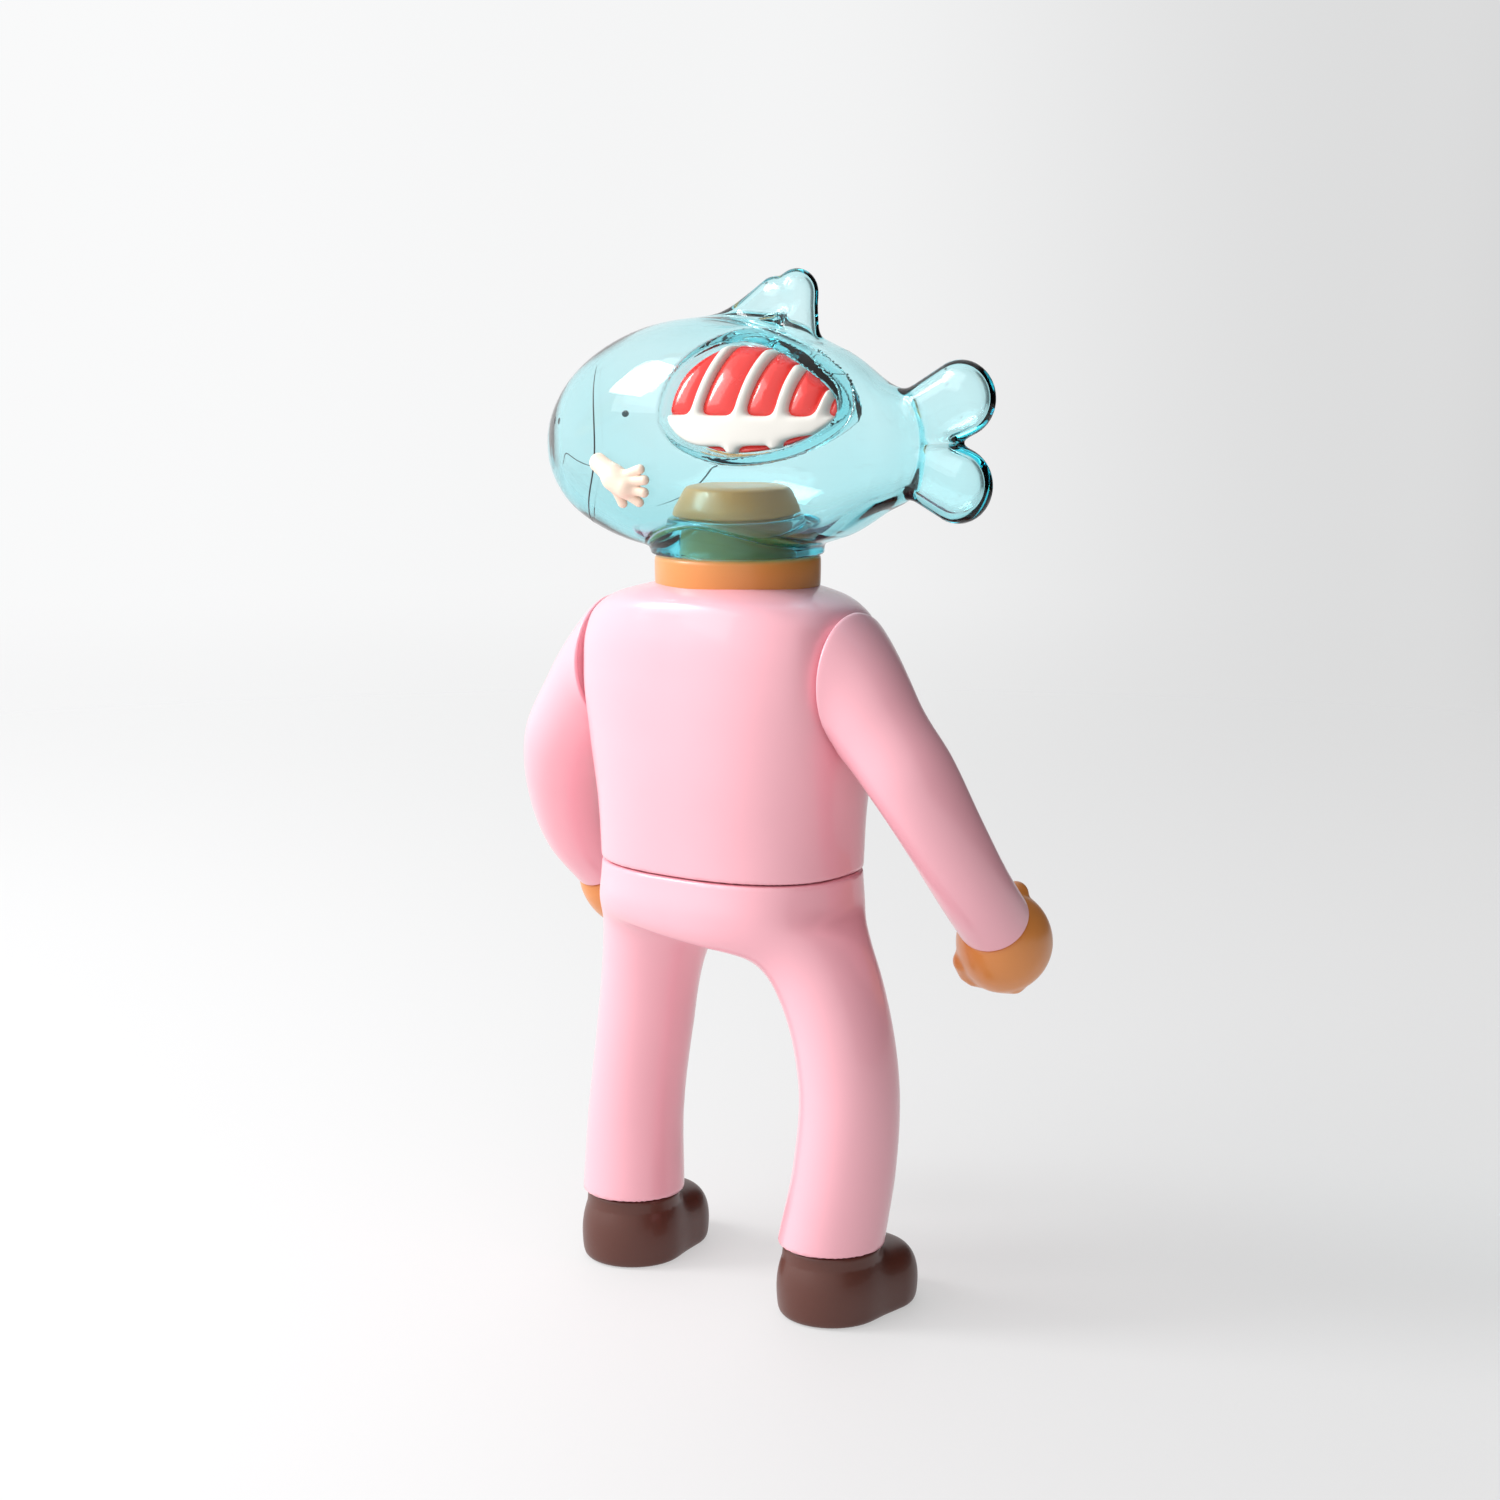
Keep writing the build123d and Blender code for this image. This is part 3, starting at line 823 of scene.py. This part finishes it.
fish_body = measured(fish_formula)
TAIL_LOBES = [((-47.0, 228.5), (-67.5, 238.6), 8.0, 9.4), ((-47.0, 226.0), (-67.0, 217.6), 8.0, 9.4)]
TAIL_FLATNESS = 1.7
DORSAL_LOBES = [
    ((9.0, 254.5), (-18.6, 264.4), 2.4, 5.6),
    ((1.0, 256.5), (-12.0, 262.6), 3.6, 5.8),
    ((-18.6, 264.4), (-19.4, 250.0), 5.6, 5.6),
]
DORSAL_FLATNESS = 1.35
FISH_WALL = 2.4
FISH_STEP = 0.75


def fin(lobes, flatness, reach):
    """Distance to an upright fin made of flattened bars."""
    bars = [bar((ax, 0, az), (bx, 0, bz), ar, br) for (ax, az), (bx, bz), ar, br in lobes]
    together = joined(bars, reach)
    return measured(lambda x, y, z: together(x, y * flatness, z))


tail = fin(TAIL_LOBES, TAIL_FLATNESS, 5.0)
dorsal = fin(DORSAL_LOBES, DORSAL_FLATNESS, 2.0)
WINDOW_POINTS = [
    (3.4, 236.5),
    (0.6, 245.5),
    (-7.0, 251.5),
    (-17.0, 251.3),
    (-29.0, 246.2),
    (-38.0, 239.5),
    (-39.2, 233.0),
    (-30.0, 226.6),
    (-16.0, 223.9),
    (-4.0, 226.4),
    (2.2, 231.0),
]
window = outline(WINDOW_POINTS)
POCKET_DEPTH = 7.0
POCKET_INNER_Y = 6.0
POCKET_WALL = 1.8
POCKET_ROUNDING = 2.0
WINDOW_ROUNDING = 1.3
COLLAR_R = 22.6
COLLAR_TOP_Z = 206.0
COLLAR_BLEND = 3.0
SOCKET_R = 15.4
SOCKET_WALL = 2.4
SOCKET_TOP_Z = 206.4
TAIL_BLEND = 4.5
DORSAL_BLEND = 4.0


def with_fins(body, x, y, z):
    """Distance to the fish's outside, from the distance to its body."""
    total = smooth_min(body, tail(x, y, z), TAIL_BLEND)
    return smooth_min(total, dorsal(x, y, z), DORSAL_BLEND)


def fish_outside(x, y, z):
    """Distance to the fish's outside with its fins, without the collar or the recess."""
    return with_fins(fish_body(x, y, z), x, y, z)


def wall_thickness(x, y, z):
    """A wall that is thick at the bottom and thin at the top, and a little uneven all over."""
    wall = FISH_WALL + 0.8 * np.clip((228.0 - z) / 26.0, -0.8, 1.0)
    wall = wall + 0.15 * np.sin(x * 0.16 + 1.0) * np.sin(z * 0.13)
    return wall + 0.1 * np.sin(x * 0.1 - z * 0.12 + y * 0.1)


def window_recess(x, y, z, body, grown):
    """Distance to the window's recess in the left flank, grown by an amount."""
    recess = smooth_max(window(x, z) - grown, -(body + POCKET_DEPTH + grown), POCKET_ROUNDING)
    return np.maximum(recess, POCKET_INNER_Y - y - grown)


def fish_field(x, y, z):
    """Distance to the clear casting: a shell with fins, a collar, a recess and a socket."""
    body = fish_body(x, y, z)
    outside = with_fins(body, x, y, z)
    from_axis = np.hypot(x, y)
    collar = smooth_max(from_axis - COLLAR_R, np.maximum(z - COLLAR_TOP_Z, FISH_BASE_Z - z), 1.2)
    shell = smooth_min(outside, collar, COLLAR_BLEND)
    shell = smooth_max(shell, -window_recess(x, y, z, body, 0.0), WINDOW_ROUNDING)
    air = outside + wall_thickness(x, y, z)
    air = smooth_max(air, -window_recess(x, y, z, body, POCKET_WALL), 1.5)
    socket = smooth_max(from_axis - SOCKET_R - SOCKET_WALL, z - SOCKET_TOP_Z, 1.5)
    air = smooth_max(air, -socket, 2.0)
    hole = np.maximum(from_axis - SOCKET_R, z - SOCKET_TOP_Z - 3.0)
    air = smooth_min(air, hole, 0.8)
    return smooth_max(shell, -air, 0.6)


fish = skin("fish_shell_skin", fish_field, (-79, -31, 195), (63, 31, 272), FISH_STEP, CLEAR)
belongs(fish, "head", "fish_shell")

# ---------------------------------------------------------------- flesh and bones in the window

SPINE = [((3.0, 229.9), (-22.0, 230.4), 4.1, 3.6), ((-22.0, 230.4), (-38.5, 232.4), 3.6, 1.5)]
RIBS = [
    ((-4.4, 231.0), (-8.6, 253.5), 1.15),
    ((-16.2, 231.0), (-19.2, 253.5), 1.15),
    ((-26.3, 231.0), (-27.6, 250.0), 1.15),
    ((-35.0, 231.0), (-36.9, 243.0), 0.9),
    ((-15.0, 229.0), (-15.6, 221.0), 1.1),
    ((-25.6, 229.0), (-26.8, 221.0), 1.1),
]
SPINE_BLEND = 4.0
FLESH_DEPTH = 3.6
FLESH_SWELL = 1.5
FLESH_INSET = 0.9
BONE_DEPTH = 1.3
BONE_INSET = 0.7
BONE_ROUNDING = 2.2
INSERT_ROUNDING = 1.2


def flat_bar(start, end, start_r, end_r):
    """Distance to a bar drawn in the X-Z plane."""
    solid = bar((start[0], 0, start[1]), (end[0], 0, end[1]), start_r, end_r)
    return lambda x, z: solid(x, 0.0, z)


spine_bars = [flat_bar(*part) for part in SPINE]
rib_bars = [flat_bar(foot, tip, radius, radius) for foot, tip, radius in RIBS]


def bones(x, z):
    """Distance in the X-Z plane to the spine and its ribs."""
    spine = np.minimum(spine_bars[0](x, z), spine_bars[1](x, z))
    ribs = rib_bars[0](x, z)
    for rib in rib_bars[1:]:
        ribs = np.minimum(ribs, rib(x, z))
    return smooth_min(spine, ribs, SPINE_BLEND)


def flesh_field(x, y, z):
    """Distance to the flesh, which swells between the bones."""
    body, rim, bone = fish_body(x, y, z), window(x, z), bones(x, z)
    panel = np.maximum(np.minimum(bone, -rim), 0)
    depth = FLESH_DEPTH - FLESH_SWELL * (1 - np.exp(-panel / FLESH_SWELL))
    total = smooth_max(body + depth, rim + FLESH_INSET, INSERT_ROUNDING)
    total = smooth_max(total, -(body + POCKET_DEPTH - 0.2), 0.6)
    return np.maximum(total, POCKET_INNER_Y - y)


def bone_field(x, y, z):
    """Distance to the bones, which stand proud of the flesh."""
    body, rim, bone = fish_body(x, y, z), window(x, z), bones(x, z)
    total = smooth_max(body + BONE_DEPTH, bone, BONE_ROUNDING)
    total = smooth_max(total, rim + BONE_INSET, INSERT_ROUNDING)
    total = smooth_max(total, -(body + POCKET_DEPTH - 1.5), 0.6)
    return np.maximum(total, POCKET_INNER_Y - y)


flesh = skin("flesh_skin", flesh_field, (-41, 5, 221), (6, 30, 254), 0.5, FLESH)
belongs(flesh, "head", "flesh_insert")
ribs = skin("bones_skin", bone_field, (-41, 5, 221), (6, 30, 254), 0.45, BONE)
belongs(ribs, "head", "rib_insert")

# ---------------------------------------------------------------- hand on the flank

PALM_BARS = [
    ((23.4, 27.8, 221.4), (17.0, 28.9, 218.0), 2.6, 2.7),
    ((17.6, 28.8, 217.6), (13.8, 29.0, 215.8), 3.2, 3.0),
]
FINGER_BARS = [
    ((14.6, 29.2, 218.4), (9.0, 29.2, 220.3), 1.25),
    ((13.6, 29.3, 217.0), (7.9, 28.9, 217.6), 1.3),
    ((13.4, 29.2, 215.4), (8.4, 28.5, 214.4), 1.3),
    ((14.4, 28.8, 214.2), (10.8, 27.4, 211.8), 1.25),
    ((17.4, 28.2, 214.6), (16.8, 26.6, 211.4), 1.35),
]
palm = joined([bar(*part) for part in PALM_BARS], 3.0)
digits = joined([bar(*part) for part in FINGER_BARS], 0.5)


def flank_hand_field(x, y, z):
    """Distance to the small open hand, cut off at the fish's skin."""
    total = smooth_min(palm(x, y, z), digits(x, y, z), 1.5)
    return smooth_max(total, -(fish_body(x, y, z) - 0.02), 0.5)


flank_hand = skin("flank_hand_skin", flank_hand_field, (4, 22, 207), (29, 35, 227), 0.35, PALE)
belongs(flank_hand, "head", "flank_hand")

# ---------------------------------------------------------------- painted eyes on the fish, and dark lines as painted shade of its grooves

def painted_dot(name, centre, radius, rise=0.1, rings=5, sides=28):
    """A thin round bead of paint on the fish's skin."""
    centre = onto(fish_body, np.array([centre], float), rounds=6)[0]
    out = slope_of(fish_body, centre[None, :])[1][0]
    across = np.cross(out, (0.0, 0.0, 1.0))
    across /= np.linalg.norm(across)
    up = np.cross(across, out)
    angles = 2 * math.pi * np.arange(sides) / sides
    sheets = []
    for face in (1, -1):
        for share in np.linspace(1.0, 0.2, rings)[(0 if face > 0 else 1):]:
            spokes = np.outer(np.cos(angles), across) + np.outer(np.sin(angles), up)
            ring = onto(fish_body, centre + radius * share * spokes)
            sheets.append((ring + out * rise * face * (1 - share**2)).tolist())
    top, under = sheets[:rings], sheets[rings:]
    order = under[::-1] + top
    points = [p for ring in order for p in ring]
    faces = ring_faces(len(order), sides) + end_fans(len(order), sides, len(points))
    points += [centre - out * rise, centre + out * rise]
    return mesh_object(name, np.array(points), faces, EYE_PAINT_AND_GROOVE_SHADE)


def dark_groove_line(name, route, width, rings=60, sides=8):
    """A thin dark line that follows the fish's skin and thins out at both ends: painted shade laid on
    an engraved groove, which looks dark in clear vinyl.
    """
    route = np.array(route, float)
    along = np.concatenate([[0], np.cumsum(np.linalg.norm(np.diff(route, axis=0), axis=1))])
    places = np.linspace(0, along[-1], rings)
    path = np.stack([curve(along, route[:, a])(places) for a in range(3)], axis=1)
    path = onto(fish_outside, path, rounds=6)
    out = slope_of(fish_outside, path)[1]
    ahead = np.gradient(path, axis=0)
    side = np.cross(ahead, out)
    side /= np.linalg.norm(side, axis=1)[:, None]
    taper = np.sqrt(np.clip(np.sin(np.pi * np.linspace(0.004, 0.996, rings)), 0, 1))
    points = []
    for centre, o, s, t in zip(path, out, side, taper):
        for angle in 2 * math.pi * np.arange(sides) / sides:
            flat = width / 2 * t * math.cos(angle) * s
            points.append(centre + flat + 0.35 * width * t * math.sin(angle) * o)
    faces = ring_faces(rings, sides) + end_fans(rings, sides, len(points))
    points += [path[0], path[-1]]
    return mesh_object(name, np.array(points), faces, EYE_PAINT_AND_GROOVE_SHADE)


EYES = {"left": (46.5, 18.5, 231.4), "right": (50.5, -14.8, 231.4)}
EYE_R = 0.95
GILL_WIDTH = 0.55
MOUTH_WIDTH = 0.5
# The gill and mouth lines are painted shade: near-black lines on engraved grooves that look dark in
# clear vinyl.
GILL = [
    (30.5, 19.4, 245.7),
    (28.5, 23.2, 241.0),
    (26.0, 26.7, 231.9),
    (26.1, 26.2, 220.9),
    (31.2, 20.5, 211.0),
    (36.5, 12.9, 206.0),
]
MOUTH = [
    (54.2, 9.0, 217.2),
    (57.4, 4.2, 218.4),
    (59.2, 0.0, 220.6),
    (57.4, -4.2, 218.4),
    (54.2, -9.0, 217.2),
]
for side, sign in (("left", 1), ("right", -1)):
    eye = painted_dot(f"eye_{side}", EYES[side], EYE_R)
    belongs(eye, "head")
    route = [(x, sign * y, z) for x, y, z in GILL]
    gill = dark_groove_line(f"gill_line_{side}", route, GILL_WIDTH)
    belongs(gill, "head")
mouth = dark_groove_line("mouth_line", MOUTH, MOUTH_WIDTH)
belongs(mouth, "head")

# ---------------------------------------------------------------- stage

PHOTO_ANGLE = math.radians(36.7)
CAMERA_PITCH = math.radians(9.46)
CAMERA_TURN = math.radians(0.271)
CAMERA_AWAY = 666.3
CAMERA_Z = 256.5
LENS = 61.4
STUDIO_SIDE = (math.cos(PHOTO_ANGLE), math.sin(PHOTO_ANGLE), 0.0)
# A point on the floor below the camera: the floor's painted light is stronger on the figure's left side
# of it and weaker on the right.
PAINTED_LIGHT_PIVOT = (-math.sin(PHOTO_ANGLE) * CAMERA_AWAY * MM, math.cos(PHOTO_ANGLE) * CAMERA_AWAY * MM, 0.0)
FIGURE_MIDDLE = (0, 0, 0.15)
FLOOR_R = 2.5


def aim(obj, toward):
    """Turns a lamp or camera to face a direction."""
    obj.rotation_mode = "QUATERNION"
    obj.rotation_quaternion = Vector(toward).to_track_quat("-Z", "Y")


def make_camera():
    """A long lens behind the figure's right shoulder, tilted down."""
    data = bpy.data.cameras.new("camera")
    data.lens, data.sensor_width = LENS, 36.0
    data.clip_start, data.clip_end = 0.01, 50.0
    camera = bpy.data.objects.new("camera", data)
    bpy.context.scene.collection.objects.link(camera)
    ahead = np.array((math.sin(PHOTO_ANGLE), -math.cos(PHOTO_ANGLE), 0.0))
    right = np.array((-math.cos(PHOTO_ANGLE), -math.sin(PHOTO_ANGLE), 0.0))
    place = -ahead * CAMERA_AWAY + np.array((0, 0, CAMERA_Z))
    camera.location = place * MM + NECK_AXIS
    heading = ahead * math.cos(CAMERA_TURN) + right * math.sin(CAMERA_TURN)
    down = np.array((0, 0, -math.sin(CAMERA_PITCH)))
    aim(camera, heading * math.cos(CAMERA_PITCH) + down)
    bpy.context.scene.camera = camera


def softbox(name, direction, distance, width, height, power):
    """A rectangular lamp, in metres and watts, aimed at the middle of the figure."""
    data = bpy.data.lights.new(name, "AREA")
    data.shape, data.size, data.size_y, data.energy = "RECTANGLE", width, height, power
    lamp = bpy.data.objects.new(name, data)
    bpy.context.scene.collection.objects.link(lamp)
    target = Vector(FIGURE_MIDDLE) + Vector(NECK_AXIS)
    lamp.location = target + Vector(direction).normalized() * distance
    aim(lamp, target - lamp.location)


def make_world():
    """A pale studio, bright on the figure's left, dim on its right, and less so through clear vinyl."""
    world = bpy.data.worlds.new("studio")
    world.use_nodes = True
    tree = world.node_tree
    tree.nodes.clear()
    place = tree.nodes.new("ShaderNodeTexCoord")
    side = tree.nodes.new("ShaderNodeVectorMath")
    side.operation = "DOT_PRODUCT"
    side.inputs[1].default_value = STUDIO_SIDE
    spread = tree.nodes.new("ShaderNodeMapRange")
    spread.inputs["From Min"].default_value, spread.inputs["From Max"].default_value = -1.0, 1.0
    ramp = tree.nodes.new("ShaderNodeValToRGB")
    ramp.color_ramp.interpolation = "EASE"
    stops = [(0.0, 0.02), (0.24, 0.05), (0.375, 0.72), (0.5, 0.91), (0.62, 0.95), (1.0, 1.35)]
    for i, (place_on, value) in enumerate(stops):
        stop = ramp.color_ramp.elements[i] if i < 2 else ramp.color_ramp.elements.new(place_on)
        stop.position = place_on
        stop.color = (value, value * 1.003, value * 1.006, 1)
    through = tree.nodes.new("ShaderNodeMapRange")
    through.inputs["To Min"].default_value, through.inputs["To Max"].default_value = 1.0, 0.45
    rays = tree.nodes.new("ShaderNodeLightPath")
    tree.links.new(rays.outputs["Is Transmission Ray"], through.inputs["Value"])
    lifted = tree.nodes.new("ShaderNodeGamma")
    tree.links.new(through.outputs["Result"], lifted.inputs["Gamma"])
    background = tree.nodes.new("ShaderNodeBackground")
    out = tree.nodes.new("ShaderNodeOutputWorld")
    tree.links.new(place.outputs["Generated"], side.inputs[0])
    tree.links.new(side.outputs["Value"], spread.inputs["Value"])
    tree.links.new(spread.outputs["Result"], ramp.inputs["Fac"])
    tree.links.new(ramp.outputs["Color"], lifted.inputs["Color"])
    tree.links.new(lifted.outputs["Color"], background.inputs["Color"])
    tree.links.new(background.outputs[0], out.inputs["Surface"])
    bpy.context.scene.world = world


def make_floor():
    """A pale disc that emits a faint painted light of its own, stronger toward the figure's left than
    its right, which lightens the cast shadows; it fades into the background before its edge.
    """
    n = Nodes("floor_paper_painted_light")
    shader = n.add("BsdfPrincipled", Roughness=0.6, IOR=1.3)
    shader.inputs["Base Color"].default_value = (0.84, 0.84, 0.845, 1)
    n.link(n.bump(n.noise(0.004, 2), 0.03, 0.0005), shader.inputs["Normal"])
    away = n.add("VectorMath", operation="LENGTH")
    n.link(n.place, away.inputs[0])
    fade = n.ranged(away.outputs["Value"], 0.35, 1.9, 0.0, 1.0)
    ahead = n.add("VectorMath", operation="SUBTRACT")
    n.link(n.place, ahead.inputs[0])
    ahead.inputs[1].default_value = PAINTED_LIGHT_PIVOT
    heading = n.add("VectorMath", operation="NORMALIZE")
    n.link(ahead.outputs[0], heading.inputs[0])
    across = n.add("VectorMath", operation="DOT_PRODUCT")
    n.link(heading.outputs[0], across.inputs[0])
    across.inputs[1].default_value = STUDIO_SIDE
    # Painted light: the floor emits light, stronger on the figure's left than its right, in place of
    # lamp light, to lighten the cast shadows.
    painted_light_emission = n.add("Emission")
    n.link(n.ranged(across.outputs["Value"], -0.3, 0.3, 0.70, 0.95), painted_light_emission.inputs["Strength"])
    floor_with_painted_light = n.add("MixShader", Fac=0.6)
    n.link(shader.outputs[0], floor_with_painted_light.inputs[1])
    n.link(painted_light_emission.outputs[0], floor_with_painted_light.inputs[2])
    mix = n.add("MixShader")
    n.link(fade, mix.inputs[0])
    n.link(floor_with_painted_light.outputs[0], mix.inputs[1])
    n.link(n.add("BsdfTransparent").outputs[0], mix.inputs[2])
    n.link(mix.outputs[0], n.add("OutputMaterial").inputs["Surface"])
    edit = bmesh.new()
    bmesh.ops.create_circle(edit, cap_ends=True, radius=FLOOR_R, segments=128)
    mesh = bpy.data.meshes.new("floor")
    edit.to_mesh(mesh)
    edit.free()
    mesh.materials.append(n.material)
    floor = bpy.data.objects.new("floor", mesh)
    bpy.context.scene.collection.objects.link(floor)


make_camera()
make_world()
make_floor()
softbox("key_softbox", (0.45, 0.70, 0.62), 1.5, 1.2, 1.2, 8.5)
softbox("strip_softbox", (0.62, 0.45, 0.60), 1.3, 0.40, 0.55, 8.5)
bpy.context.scene.view_settings.view_transform = "Standard"
